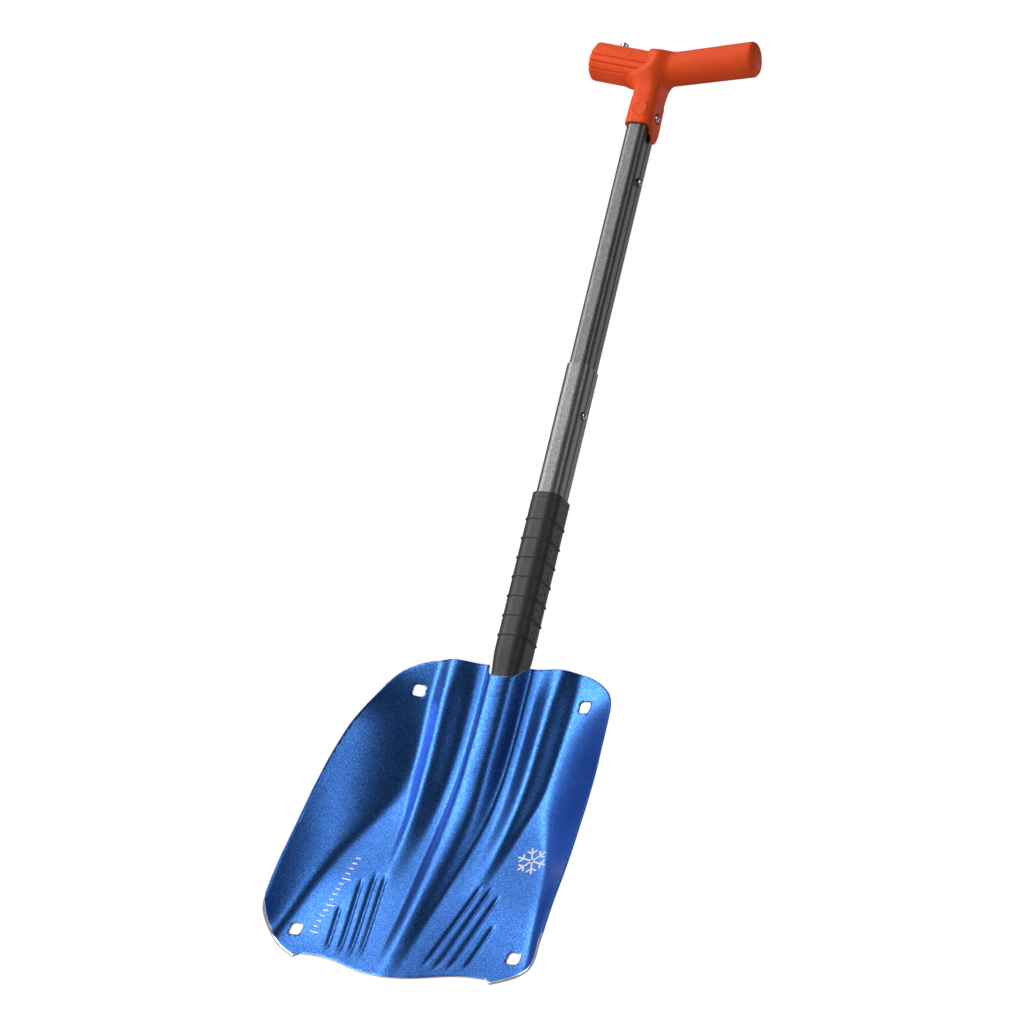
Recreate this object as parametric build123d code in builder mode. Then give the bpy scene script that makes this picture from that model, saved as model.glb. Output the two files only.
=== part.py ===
"""Telescopic avalanche shovel, standing on the tip of its blade.

The shaft runs along +Z and the scoop opens towards -Y.  The origin is at the
bottom centre of the whole shovel.  Heights named *_UP are measured upwards
from the socket mouth of the blade, and depths named *_DOWN downwards from it.
"""

from math import asin, atan, cos, degrees, exp, log, radians, sin
import os

from build123d import *

os.makedirs("parts", exist_ok=True)

# ---------------------------------------------------------------- placement
MOUTH_Z = 278.6        # socket mouth of the blade above the ground
SHAFT_Y = 36.2         # the shaft's axis lies behind the middle of the bounding box

# -------------------------------------------------------------------- blade
SHEET = 2.0            # aluminium sheet, measured front to back
BLADE_HALF = 118.5     # half the width of the blade
BLADE_DROP = 278.6     # socket mouth to the middle of the cutting edge
RAKE = 0.53            # forward slope of the lower panel
RAKE_START = 108.0     # where the panel leaves the line of the shaft
RAKE_BLEND = 25.0      # length over which it bends
TUNNEL_HEIGHT = 17.0   # raised tunnel over the shaft
TUNNEL_FOOT = 18.8     # half width of the tunnel at its foot
RIB_HEIGHT = 9.5       # long stiffening rib each side of the tunnel
RIB_ROOT = 25.0        # where its inner slope begins, from the centre
HOLE = 10.0            # square lashing holes
HOLE_CORNER = 2.8
TOE_BLEND = 2.5        # bend where each side wall leaves the panel
TOP_HOLE = (73.1, 23.9)      # (from the centre, below the mouth)
BOTTOM_HOLE = (93.2, 245.6)

# ------------------------------------------------------------- socket cover
COVER_GAP = 0.2
COVER_SHEET = 1.8
COVER_INSIDE = 14.9    # front face of its back wall, behind the shaft's axis
COVER_FOOT = 18.2
COVER_HALF = 27.0
COVER_TOP_DOWN = 6.5
COVER_END_DOWN = 116.0
COVER_CORNER = 9.0
COVER_BACK = COVER_INSIDE + COVER_SHEET - 0.1    # coined flat, to lie on

# -------------------------------------------------------------------- tubes
TUBE_WIDE = 21.0       # lower tube across
TUBE_DEEP = 28.4       # lower tube front to back
TUBE_CORNER = 7.0
TUBE_WALL = 1.2
TUBE_FIT = 0.12        # running clearance between the two tubes
INNER_INSET = TUBE_WALL + TUBE_FIT
FLUTE_DEEP = 0.5       # long flute down the right side of both tubes
FLUTE_WIDE = 3.2
PLUG_LIP = 1.6         # end fittings of both tubes
PLUG_LONG = 9.0
PLUG_FIT = 0.02
GLIDE_LONG = 6.0
LOWER_END_DOWN = 84.0
LOWER_TOP_UP = 265.0
UPPER_END_UP = 200.0
UPPER_TOP_UP = 532.0

# --------------------------------------------------------------- grip sleeve
GRIP_WALL = 2.4
GRIP_TOP_UP = 150.0
GRIP_END_DOWN = 12.0
GRIP_TIP = 5.0         # thin lower end, inside the socket
GRIP_TIP_WALL = 0.6
GRIP_TAPER_UP = 16.0   # the sleeve reaches its full thickness here
GRIP_RINGS = 7
GRIP_RING_FIRST_UP = 26.6
GRIP_RING_PITCH = 16.7
GRIP_RING_PROUD = 0.9
GRIP_RING_LONG = 2.4

# ------------------------------------------------------------- snap buttons
BUTTON_RADIUS = 3.4
BUTTON_HOLE_RADIUS = 3.8
BUTTON_DOME = 1.5
BUTTON_PROUD = 2.6     # dome above the surface that it locks
LOCK_UP = 224.0        # holds the two tubes at full length
STOW_UP = 437.0        # drops into the same hole when the shaft is shortened
HANDLE_BUTTON_UP = 496.8
BLADE_LOCK_DOWN = 46.0
BLADE_LOCK_PROUD = 0.6 # sits low, so the shovel can lie on its back
HOE_PROUD = 4.4
SPRING_ABOVE = 6.0     # leaf above and below the button's axis
SPRING_BELOW = 5.0
SPRING_WIDE = 7.0
SPRING_THICK = 0.6
SPRING_GAP = 0.35      # leaf to tube wall

# ------------------------------------------------------------------- handle
COLLAR_WALL = 2.4
COLLAR_LOW_UP = 486.0
COLLAR_TAB = 11.0      # tongue below the rim on the right
TAB_WIDE = 14.0
TAB_THICK = 3.0
TAB_RELIEF = 5.5       # its tip stands clear, to pass over the lower tube's rim
COLLAR_STEP = 0.9      # the neck is slimmer than the collar by this much
COLLAR_STEP_UP = 512.0
HUB_UP = 540.9
ARM_RISE = 9.2         # degrees, both arms
LEFT_REACH = 55.0
RIGHT_REACH = 91.6
ARM_ROOT_RADIUS = 14.2
ARM_FLARE = 0.8        # extra radius at the end of the right arm
RIBBED_RADIUS = 16.9
RIBBED_COUNT = 14
RIBBED_GROOVE = 0.8
RIBBED_EDGE = 1.5
RIBBED_START = 15.1    # where the ribbed arm's full diameter begins, from the hub
STUB_LENGTH = 24.0     # hub shell over the ribbed arm
STUB_WALL = 1.3
HUB_RADIUS = 18.6
SPIGOT_RADIUS = 11.5
SPIGOT_START = 9.1
SPIGOT_WALL = 2.0
SEAT_GAP = 0.1
CAP_DEEP = 5.0         # plug in the end of the right arm
CAP_RADIUS = 11.0
CAP_SUNK = 0.4
HOE_BUTTON_REACH = 37.0


def soft_plus(value, blend):
    """A ramp that starts at zero over the length of the blend."""
    return blend * log(1 + exp(value / blend))


def soft_step(value, start, end):
    """0 before start, 1 after end, smooth between them."""
    part = min(1, max(0, (value - start) / (end - start)))
    return part * part * (3 - 2 * part)


def along(value, stations):
    """Straight-line value between (position, value) stations."""
    before = stations[0]
    for station in stations[1:]:
        if value <= station[0]:
            part = max(0, (value - before[0]) / (station[0] - before[0]))
            return before[1] + part * (station[1] - before[1])
        before = station
    return before[1]


def panel_y(down):
    """Floor of the scoop: along the shaft at first, then raked forward."""
    return -RAKE * soft_plus(down - RAKE_START, RAKE_BLEND)


def tunnel(x, down):
    """Raised tunnel over the shaft, running out as a ridge at the cutting edge."""
    height = along(down, [(80, TUNNEL_HEIGHT), (131, 12), (200, 7.5), (240, 3.8), (275, 0.6)])
    foot = along(down, [(130, TUNNEL_FOOT), (173, 16.6), (200, 14.2), (226, 12), (275, 10)])
    return height * (1 - soft_step(abs(x), 0.52 * foot, foot))


def long_rib(x, down):
    """Rounded rib each side of the tunnel, fading out on the lower panel."""
    height = RIB_HEIGHT * along(
        down, [(-10, 0.5), (26, 0.95), (60, 1), (97, 0.85), (130, 0.55), (160, 0.25), (200, 0)]
    )
    crest = along(down, [(0, 47), (32, 46), (66, 44.5), (100, 43.5), (134, 42), (195, 38)])
    foot = along(down, [(33, 64.5), (65, 62.5), (95, 60.5), (130, 53), (195, 46)])
    inner = soft_step(abs(x), RIB_ROOT, crest)
    outer = 1 - soft_step(abs(x), crest, foot)
    return height * inner * outer


def side_wall(x, down):
    """Side of the scoop, curling forward from its toe to the outer edge."""
    toe = along(down, [(60, 57), (90, 59), (117, 65), (167, 87), (206, 98.5), (251, 109)])
    edge = along(
        down,
        [(0, 77), (10, 90), (24, 97.4), (47, 103.6), (83, 111.6), (131, 116), (184, 118)],
    )
    rise = along(
        down,
        [(0, 2), (10, 4), (24, 9.5), (47, 21.9), (83, 37.8), (131, 40.4), (184, 32.1), (251, 20)],
    )
    slope = along(
        down, [(0, 0.12), (24, 0.15), (47, 0.2), (83, 0.3), (131, 0.5), (184, 0.9), (230, 1.5)]
    )
    span = soft_plus(edge - toe, TOE_BLEND)
    curl = min(0.02, max(0, (rise - slope * span) / span**2))
    beyond = soft_plus(abs(x) - toe, TOE_BLEND)
    return slope * beyond + curl * beyond**2


def corner_set_back(x, down):
    """The cutting edge is crowned: its corners lie behind the middle."""
    return 6.5 * (1 - exp(-((x / 45) ** 2))) * soft_step(down, 190, 262)


def sheet_y(x, down):
    """Front face of the blade, relative to the shaft's axis."""
    forward = tunnel(x, down) + long_rib(x, down) + side_wall(x, down)
    return panel_y(down) - forward + corner_set_back(x, down)


def cover_y(x, down):
    """Front face of the pressed cover that closes the socket from behind."""
    flange = panel_y(down) + SHEET + COVER_GAP
    height = (COVER_INSIDE - flange) * (1 - soft_step(down, 88, 114))
    return flange + height * (1 - soft_step(abs(x), 0.62 * COVER_FOOT, COVER_FOOT))


def steps(start, end, count):
    return [start + (end - start) * i / count for i in range(count + 1)]


def pressed_face(shape, x_values, down_values):
    """Smooth face through a formula given over the blade's width and drop."""
    rows = [
        [Vector(x, SHAFT_Y + shape(x, down), MOUTH_Z - down) for x in x_values]
        for down in down_values
    ]
    return Face.make_surface_from_array_of_points(rows, tol=0.06, min_deg=3, max_deg=3)


def rounded_bar(wide, deep, corner, low_up, high_up, mode=Mode.ADD):
    """Bar along the shaft's axis with a rounded rectangular section."""
    with BuildSketch(Plane((0, SHAFT_Y, MOUTH_Z + low_up))) as section:
        RectangleRounded(wide, deep, corner)
    extrude(section.sketch, amount=high_up - low_up, mode=mode)


def tube_bar(inset, low_up, high_up, mode=Mode.ADD):
    """The lower tube's outer section, made smaller by inset (or larger)."""
    wide = TUBE_WIDE - 2 * inset
    deep = TUBE_DEEP - 2 * inset
    rounded_bar(wide, deep, TUBE_CORNER - inset, low_up, high_up, mode)


def side_plane(x, up):
    """Plane on the shaft's right side, facing +X."""
    return Plane(origin=(x, SHAFT_Y, MOUTH_Z + up), x_dir=(0, 1, 0), z_dir=(1, 0, 0))


def side_hole(up, radius=BUTTON_HOLE_RADIUS):
    """Round hole for a snap button through the right wall only."""
    with BuildSketch(side_plane(2.0, up)) as section:
        Circle(radius)
    extrude(section.sketch, amount=TUBE_WIDE, mode=Mode.SUBTRACT)


def flute(inset, low_up, high_up):
    """Long shallow flute down the right side of a tube."""
    surface = TUBE_WIDE / 2 - inset
    radius = (FLUTE_WIDE**2 / 4 + FLUTE_DEEP**2) / (2 * FLUTE_DEEP)
    centre = surface - FLUTE_DEEP + radius
    with BuildSketch(Plane((centre, SHAFT_Y, MOUTH_Z + low_up))) as section:
        Circle(radius)
    extrude(section.sketch, amount=high_up - low_up, mode=Mode.SUBTRACT)


def snap_button(plane, shank):
    """Domed button standing on its leaf, with its axis along the plane's normal."""
    dome_radius = (BUTTON_RADIUS**2 + BUTTON_DOME**2) / (2 * BUTTON_DOME)
    half_angle = asin(BUTTON_RADIUS / dome_radius) / 2
    half_way = (
        shank - dome_radius * (1 - cos(half_angle)),
        dome_radius * sin(half_angle),
    )
    with BuildSketch(Plane(plane.origin, x_dir=plane.z_dir, z_dir=plane.x_dir)) as section:
        with BuildLine():
            Polyline((shank, 0), (0, 0), (0, BUTTON_RADIUS), (shank - BUTTON_DOME, BUTTON_RADIUS))
            ThreePointArc((shank - BUTTON_DOME, BUTTON_RADIUS), half_way, (shank, 0))
        make_face()
    revolve(section.sketch, axis=Axis(plane.origin, plane.z_dir))


def leaf_spring(plane, half_gap, above, below):
    """Bent strip: two legs pressed against opposite walls, joined by a half round."""
    middle = half_gap - SPRING_THICK / 2
    with BuildLine(plane) as path:
        Line((middle, above), (middle, -below))
        ThreePointArc((middle, -below), (0, -below - middle), (-middle, -below))
        Line((-middle, -below), (-middle, above / 3))
    start = Plane(
        origin=path.line @ 0, x_dir=plane.x_dir, z_dir=path.line % 0
    )
    with BuildSketch(start) as section:
        Rectangle(SPRING_THICK, SPRING_WIDE)
    sweep(section.sketch, path=path.line)


lock_plane = Plane(
    origin=(0, SHAFT_Y, MOUTH_Z - BLADE_LOCK_DOWN), x_dir=(1, 0, 0), z_dir=(0, 1, 0)
)

# ------------------------------------------------------------ blade sheet
blade_face = pressed_face(sheet_y, steps(-124, 124, 96), steps(-14, 286, 60))

MOUTH = [(0, 9.2), (8, 8.3), (13, 4), (16, -1.5), (18.8, -4.4)]
TOP_EDGE = [(18.8, -4.4), (27, -4.7), (40, -4.9), (50, -4.8), (58, -4.3), (64.5, -3.2)]
SHOULDER = [(71, -1.6), (79.5, 1.9), (86.6, 6.6), (91.7, 12), (97.4, 24)]
SIDE = [(97.4, 24), (103.8, 47), (111.6, 83), (116, 131), (118, 184), (BLADE_HALF, 228)]
CORNER = [(BLADE_HALF, 228), (115.8, 243), (106, 258), (84, 270.4)]
EDGE = [(79, 266.8), (61, 267.3), (40, 271.6), (20, 276.6), (0, BLADE_DROP)]


def outline_half(side):
    """Half of the blade's outline as seen from the front; side is -1 or 1."""

    def placed(points):
        return [(side * x, -down) for x, down in points]

    Spline(placed(MOUTH))
    Spline(placed(TOP_EDGE + SHOULDER))
    Spline(placed(SIDE))
    Spline(placed(CORNER))
    Line(placed([CORNER[-1], EDGE[0]]))
    Spline(placed(EDGE))


with BuildPart() as blade:
    add(Solid.extrude(blade_face, Vector(0, SHEET, 0)))
    with BuildSketch(Plane((0, -200, MOUTH_Z), x_dir=(1, 0, 0), z_dir=(0, -1, 0))):
        with BuildLine():
            outline_half(1)
            outline_half(-1)
        make_face()
        for hole_x, hole_down in (TOP_HOLE, BOTTOM_HOLE):
            with Locations((hole_x, -hole_down), (-hole_x, -hole_down)):
                RectangleRounded(HOLE, HOLE, HOLE_CORNER, mode=Mode.SUBTRACT)
    extrude(amount=-400, mode=Mode.INTERSECT)
blade.part.label = "blade"
export_step(blade.part, "parts/blade.step")

# ----------------------------------------------------------- socket cover
cover_face = pressed_face(cover_y, steps(-30, 30, 30), steps(0, 120, 40))

with BuildPart() as socket_cover:
    add(Solid.extrude(cover_face, Vector(0, COVER_SHEET, 0)))
    with BuildSketch(Plane((0, -200, MOUTH_Z), x_dir=(1, 0, 0), z_dir=(0, -1, 0))):
        with Locations((0, -(COVER_TOP_DOWN + COVER_END_DOWN) / 2)):
            RectangleRounded(2 * COVER_HALF, COVER_END_DOWN - COVER_TOP_DOWN, COVER_CORNER)
    extrude(amount=-400, mode=Mode.INTERSECT)
    with BuildSketch(Plane((0, SHAFT_Y + COVER_BACK, MOUTH_Z), x_dir=(1, 0, 0), z_dir=(0, 1, 0))):
        Rectangle(400, 400)
    extrude(amount=20, mode=Mode.SUBTRACT)
    with BuildSketch(lock_plane):
        Circle(BUTTON_HOLE_RADIUS)
    extrude(amount=40, mode=Mode.SUBTRACT)
socket_cover.part.label = "socket_cover"
export_step(socket_cover.part, "parts/socket_cover.step")

# ------------------------------------------------------------- lower tube
with BuildPart() as lower_tube:
    tube_bar(0, -LOWER_END_DOWN, LOWER_TOP_UP)
    flute(0, -LOWER_END_DOWN, LOWER_TOP_UP)
    tube_bar(TUBE_WALL, -LOWER_END_DOWN, LOWER_TOP_UP, Mode.SUBTRACT)
    side_hole(LOCK_UP)
    with BuildSketch(lock_plane):
        Circle(BUTTON_HOLE_RADIUS)
    extrude(amount=40, mode=Mode.SUBTRACT)
lower_tube.part.label = "lower_tube"
export_step(lower_tube.part, "parts/lower_tube.step")

with BuildPart() as lower_plug:
    tube_bar(0.3, -LOWER_END_DOWN - PLUG_LIP, -LOWER_END_DOWN)
    tube_bar(TUBE_WALL + PLUG_FIT, -LOWER_END_DOWN, -LOWER_END_DOWN + PLUG_LONG)
    tube_bar(2 * PLUG_LIP, -LOWER_END_DOWN + PLUG_LIP, -LOWER_END_DOWN + PLUG_LONG, Mode.SUBTRACT)
lower_plug.part.label = "lower_plug"
export_step(lower_plug.part, "parts/lower_plug.step")

# ------------------------------------------------------------- grip sleeve
with BuildPart() as grip_sleeve:
    tube_bar(-GRIP_WALL, GRIP_TAPER_UP, GRIP_TOP_UP)
    tube_bar(-GRIP_TIP_WALL, -GRIP_END_DOWN, GRIP_TIP - GRIP_END_DOWN)
    for wall, up in ((GRIP_TIP_WALL, GRIP_TIP - GRIP_END_DOWN), (GRIP_WALL, GRIP_TAPER_UP)):
        with BuildSketch(Plane((0, SHAFT_Y, MOUTH_Z + up))):
            RectangleRounded(TUBE_WIDE + 2 * wall, TUBE_DEEP + 2 * wall, TUBE_CORNER + wall)
    loft()
    for ring in range(GRIP_RINGS):
        ring_up = GRIP_RING_FIRST_UP + ring * GRIP_RING_PITCH
        tube_bar(
            -GRIP_WALL - GRIP_RING_PROUD, ring_up - GRIP_RING_LONG / 2, ring_up + GRIP_RING_LONG / 2
        )
    tube_bar(0, -GRIP_END_DOWN - 1, GRIP_TOP_UP + 1, Mode.SUBTRACT)
grip_sleeve.part.label = "grip_sleeve"
export_step(grip_sleeve.part, "parts/grip_sleeve.step")

# ------------------------------------------------------------- upper tube
with BuildPart() as upper_tube:
    tube_bar(INNER_INSET, UPPER_END_UP, UPPER_TOP_UP)
    flute(INNER_INSET, UPPER_END_UP, UPPER_TOP_UP)
    tube_bar(INNER_INSET + TUBE_WALL, UPPER_END_UP, UPPER_TOP_UP, Mode.SUBTRACT)
    for button_up in (LOCK_UP, STOW_UP, HANDLE_BUTTON_UP):
        side_hole(button_up)
upper_tube.part.label = "upper_tube"
export_step(upper_tube.part, "parts/upper_tube.step")

with BuildPart() as upper_glide:
    tube_bar(INNER_INSET, UPPER_END_UP - PLUG_LIP, UPPER_END_UP)
    tube_bar(INNER_INSET + TUBE_WALL + PLUG_FIT, UPPER_END_UP, UPPER_END_UP + GLIDE_LONG)
    glide_bore = INNER_INSET + 2 * PLUG_LIP
    tube_bar(glide_bore, UPPER_END_UP - PLUG_LIP, UPPER_END_UP + GLIDE_LONG, Mode.SUBTRACT)
upper_glide.part.label = "upper_glide"
export_step(upper_glide.part, "parts/upper_glide.step")

# ------------------------------------------- snap buttons and their springs
UPPER_LEAF = TUBE_WIDE / 2 - INNER_INSET - TUBE_WALL - SPRING_GAP
LOCK_TIP = TUBE_WIDE / 2 + BUTTON_PROUD
HANDLE_TIP = TUBE_WIDE / 2 - INNER_INSET + COLLAR_WALL + BUTTON_PROUD

for name, button_up, tip in (
    ("shaft_lock", LOCK_UP, LOCK_TIP),
    ("stow", STOW_UP, LOCK_TIP),
    ("handle", HANDLE_BUTTON_UP, HANDLE_TIP),
):
    with BuildPart() as button:
        snap_button(side_plane(UPPER_LEAF, button_up), tip - UPPER_LEAF)
    button.part.label = name + "_button"
    export_step(button.part, "parts/" + name + "_button.step")

    with BuildPart() as spring:
        spring_plane = Plane(
            origin=(0, SHAFT_Y, MOUTH_Z + button_up), x_dir=(1, 0, 0), z_dir=(0, -1, 0)
        )
        leaf_spring(spring_plane, UPPER_LEAF, SPRING_ABOVE, SPRING_BELOW)
    spring.part.label = name + "_spring"
    export_step(spring.part, "parts/" + name + "_spring.step")

BLADE_LEAF = TUBE_DEEP / 2 - TUBE_WALL - SPRING_GAP
BLADE_TIP = COVER_BACK + BLADE_LOCK_PROUD
with BuildPart() as blade_lock_button:
    leaf_seat = Plane(
        origin=(0, SHAFT_Y + BLADE_LEAF, MOUTH_Z - BLADE_LOCK_DOWN),
        x_dir=(1, 0, 0),
        z_dir=(0, 1, 0),
    )
    snap_button(leaf_seat, BLADE_TIP - BLADE_LEAF)
blade_lock_button.part.label = "blade_lock_button"
export_step(blade_lock_button.part, "parts/blade_lock_button.step")

with BuildPart() as blade_lock_spring:
    spring_plane = Plane(
        origin=(0, SHAFT_Y, MOUTH_Z - BLADE_LOCK_DOWN), x_dir=(0, 1, 0), z_dir=(1, 0, 0)
    )
    leaf_spring(spring_plane, BLADE_LEAF, SPRING_ABOVE, SPRING_BELOW)
blade_lock_spring.part.label = "blade_lock_spring"
export_step(blade_lock_spring.part, "parts/blade_lock_spring.step")

# ------------------------------------------------------------------ handle
HUB = (0, SHAFT_Y, MOUTH_Z + HUB_UP)
right_way = Vector(cos(radians(ARM_RISE)), 0, sin(radians(ARM_RISE)))
left_way = Vector(-cos(radians(ARM_RISE)), 0, sin(radians(ARM_RISE)))
LEFT_LENGTH = LEFT_REACH / cos(radians(ARM_RISE))
RIGHT_LENGTH = RIGHT_REACH / cos(radians(ARM_RISE)) - 2
left_plane = Plane(origin=HUB, x_dir=(0, 1, 0), z_dir=left_way)
right_plane = Plane(origin=HUB, x_dir=(0, 1, 0), z_dir=right_way)

hoe_middle = Vector(HUB) + left_way * HOE_BUTTON_REACH
hoe_plane = Plane(origin=hoe_middle, x_dir=(0, 1, 0), z_dir=-left_plane.y_dir)

with BuildPart() as handle_body:
    with BuildSketch(right_plane):
        Circle(ARM_ROOT_RADIUS)
    extrude(amount=RIGHT_LENGTH, taper=-degrees(atan(ARM_FLARE / RIGHT_LENGTH)))
    with BuildSketch(right_plane.offset(RIGHT_LENGTH - CAP_DEEP)):
        Circle(CAP_RADIUS + PLUG_FIT)
    extrude(amount=CAP_DEEP + 1, mode=Mode.SUBTRACT)
    with BuildSketch(left_plane):
        Circle(RIBBED_RADIUS + STUB_WALL)
    extrude(amount=STUB_LENGTH)
    with Locations(HUB):
        Sphere(HUB_RADIUS)
    tube_bar(INNER_INSET - COLLAR_WALL, COLLAR_LOW_UP, COLLAR_STEP_UP)
    tube_bar(INNER_INSET - COLLAR_WALL + COLLAR_STEP, COLLAR_STEP_UP, HUB_UP)
    with BuildSketch(side_plane(TUBE_WIDE / 2 - INNER_INSET, COLLAR_LOW_UP)):
        with Locations((0, 0)):
            RectangleRounded(TAB_WIDE, 2 * COLLAR_TAB, TAB_WIDE / 2 - 0.5)
    extrude(amount=TAB_THICK)
    tube_bar(INNER_INSET - TUBE_FIT, COLLAR_LOW_UP - 30, UPPER_TOP_UP + 0.5, Mode.SUBTRACT)
    relief_up = COLLAR_LOW_UP - COLLAR_TAB + TAB_RELIEF
    tube_bar(-TUBE_FIT, COLLAR_LOW_UP - 30, relief_up, Mode.SUBTRACT)
    side_hole(HANDLE_BUTTON_UP)
    with BuildSketch(left_plane.offset(SPIGOT_START - SEAT_GAP)):
        Circle(SPIGOT_RADIUS + PLUG_FIT)
    extrude(amount=STUB_LENGTH, mode=Mode.SUBTRACT)
    with BuildSketch(left_plane.offset(RIBBED_START - SEAT_GAP)):
        Circle(RIBBED_RADIUS + PLUG_FIT)
    extrude(amount=STUB_LENGTH, mode=Mode.SUBTRACT)
handle_body.part.label = "handle_body"
export_step(handle_body.part, "parts/handle_body.step")

with BuildPart() as ribbed_arm:
    with BuildSketch(left_plane.offset(RIBBED_START)):
        Circle(RIBBED_RADIUS)
    extrude(amount=LEFT_LENGTH - RIBBED_START)
    fillet(ribbed_arm.edges().group_by(Axis.X)[0], RIBBED_EDGE)
    with BuildSketch(left_plane.offset(SPIGOT_START)):
        Circle(SPIGOT_RADIUS)
    extrude(amount=RIBBED_START - SPIGOT_START + 1)
    with BuildSketch(left_plane.offset(STUB_LENGTH + 2)):
        with PolarLocations(RIBBED_RADIUS, RIBBED_COUNT, start_angle=180 / RIBBED_COUNT):
            Circle(RIBBED_GROOVE)
    extrude(amount=LEFT_LENGTH, mode=Mode.SUBTRACT)
    with BuildSketch(left_plane.offset(SPIGOT_START + SPIGOT_WALL)):
        Circle(SPIGOT_RADIUS - SPIGOT_WALL)
    extrude(amount=LEFT_LENGTH, mode=Mode.SUBTRACT)
    with BuildSketch(hoe_plane):
        Circle(BUTTON_HOLE_RADIUS)
    extrude(amount=30, mode=Mode.SUBTRACT)
ribbed_arm.part.label = "ribbed_arm"
export_step(ribbed_arm.part, "parts/ribbed_arm.step")

with BuildPart() as arm_end_cap:
    with BuildSketch(right_plane.offset(RIGHT_LENGTH - CAP_DEEP + SEAT_GAP)):
        Circle(CAP_RADIUS)
    extrude(amount=CAP_DEEP - SEAT_GAP - CAP_SUNK)
arm_end_cap.part.label = "arm_end_cap"
export_step(arm_end_cap.part, "parts/arm_end_cap.step")

HOE_LEAF = SPIGOT_RADIUS - SPIGOT_WALL - SPRING_GAP - 1.4
with BuildPart() as hoe_button:
    leaf_seat = Plane(
        origin=hoe_middle + hoe_plane.z_dir * HOE_LEAF, x_dir=hoe_plane.x_dir, z_dir=hoe_plane.z_dir
    )
    snap_button(leaf_seat, RIBBED_RADIUS + HOE_PROUD - HOE_LEAF)
hoe_button.part.label = "hoe_button"
export_step(hoe_button.part, "parts/hoe_button.step")

with BuildPart() as hoe_spring:
    hoe_leaf_plane = Plane(origin=hoe_middle, x_dir=hoe_plane.z_dir, z_dir=hoe_plane.x_dir)
    leaf_spring(hoe_leaf_plane, HOE_LEAF, SPRING_ABOVE, SPRING_BELOW)
hoe_spring.part.label = "hoe_spring"
export_step(hoe_spring.part, "parts/hoe_spring.step")
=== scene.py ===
from math import cos, pi, radians, sin

import bpy
import numpy as np
from mathutils import Matrix, Vector
from mathutils.geometry import delaunay_2d_cdt


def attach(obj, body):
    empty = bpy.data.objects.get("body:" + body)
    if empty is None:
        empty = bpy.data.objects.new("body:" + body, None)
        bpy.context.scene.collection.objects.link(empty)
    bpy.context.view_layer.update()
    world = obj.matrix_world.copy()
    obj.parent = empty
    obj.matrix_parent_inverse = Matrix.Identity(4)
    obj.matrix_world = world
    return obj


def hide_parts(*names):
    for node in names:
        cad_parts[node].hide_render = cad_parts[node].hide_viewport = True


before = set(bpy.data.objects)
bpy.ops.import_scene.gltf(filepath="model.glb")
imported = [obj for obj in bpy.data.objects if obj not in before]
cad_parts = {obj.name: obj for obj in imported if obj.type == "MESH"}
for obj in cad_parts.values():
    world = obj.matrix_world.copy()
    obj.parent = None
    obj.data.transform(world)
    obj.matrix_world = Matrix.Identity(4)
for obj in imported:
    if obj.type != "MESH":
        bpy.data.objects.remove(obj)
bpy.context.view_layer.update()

# Lengths are in millimetres beside the shaft's axis and above the socket mouth,
# as in the CAD part, until placed() turns them into metres in the shared frame.
MM = 0.001
SHAFT_Y = 36.2
MOUTH_Z = 278.6
SHEET = 2.0


def placed(x, y, up):
    """Points in metres in the shared frame."""
    x, y, up = np.broadcast_arrays(x, y, up)
    return np.stack([x, y + SHAFT_Y, up + MOUTH_Z], axis=-1) * MM


def soft_plus(value, blend):
    return blend * np.logaddexp(0, value / blend)


def soft_step(value, start, end):
    part = np.clip((value - start) / (end - start), 0, 1)
    return part * part * (3 - 2 * part)


def along(value, stations, blur=5.0):
    """Value between stations, with the corners of the straight runs rounded."""
    at, to = zip(*stations)
    return sum(np.interp(value + k * blur, at, to) for k in (-1, -0.5, 0, 0.5, 1)) / 5


# ------------------------------------------------------------------ materials
def material(name, **shader):
    """New node material; the keywords are Principled inputs."""
    made = bpy.data.materials.new(name)
    made.use_nodes = True
    principled = made.node_tree.nodes["Principled BSDF"]
    for key, value in shader.items():
        principled.inputs[key.replace("_", " ")].default_value = value
    return made, made.node_tree, principled


def noise(tree, scale, detail=2.0, stretch=(1, 1, 1)):
    """Procedural texture in the piece's own coordinates (features per metre)."""
    coordinates = tree.nodes.new("ShaderNodeTexCoord")
    mapping = tree.nodes.new("ShaderNodeMapping")
    mapping.inputs["Scale"].default_value = stretch
    tree.links.new(coordinates.outputs["Object"], mapping.inputs["Vector"])
    texture = tree.nodes.new("ShaderNodeTexNoise")
    texture.inputs["Scale"].default_value = scale
    texture.inputs["Detail"].default_value = detail
    tree.links.new(mapping.outputs["Vector"], texture.inputs["Vector"])
    return texture


def ramp(tree, source, *stops):
    """Colour ramp over a texture's value; stops are (position, colour)."""
    node = tree.nodes.new("ShaderNodeValToRGB")
    points = node.color_ramp.elements
    while len(points) < len(stops):
        points.new(0.5)
    for point, (position, colour) in zip(points, stops):
        point.position = position
        point.color = (*colour, 1)
    tree.links.new(source, node.inputs["Fac"])
    return node.outputs["Color"]


def multiplied(tree, first, second):
    """Product of two colours."""
    node = tree.nodes.new("ShaderNodeMix")
    node.data_type = "RGBA"
    node.blend_type = "MULTIPLY"
    node.inputs[0].default_value = 1.0
    tree.links.new(first, node.inputs[6])
    tree.links.new(second, node.inputs[7])
    return node.outputs[2]


def spread(tree, source, low, high):
    """A texture's 0..1 value mapped to low..high."""
    node = tree.nodes.new("ShaderNodeMapRange")
    node.inputs["To Min"].default_value = low
    node.inputs["To Max"].default_value = high
    tree.links.new(source, node.inputs["Value"])
    return node.outputs["Result"]


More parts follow.
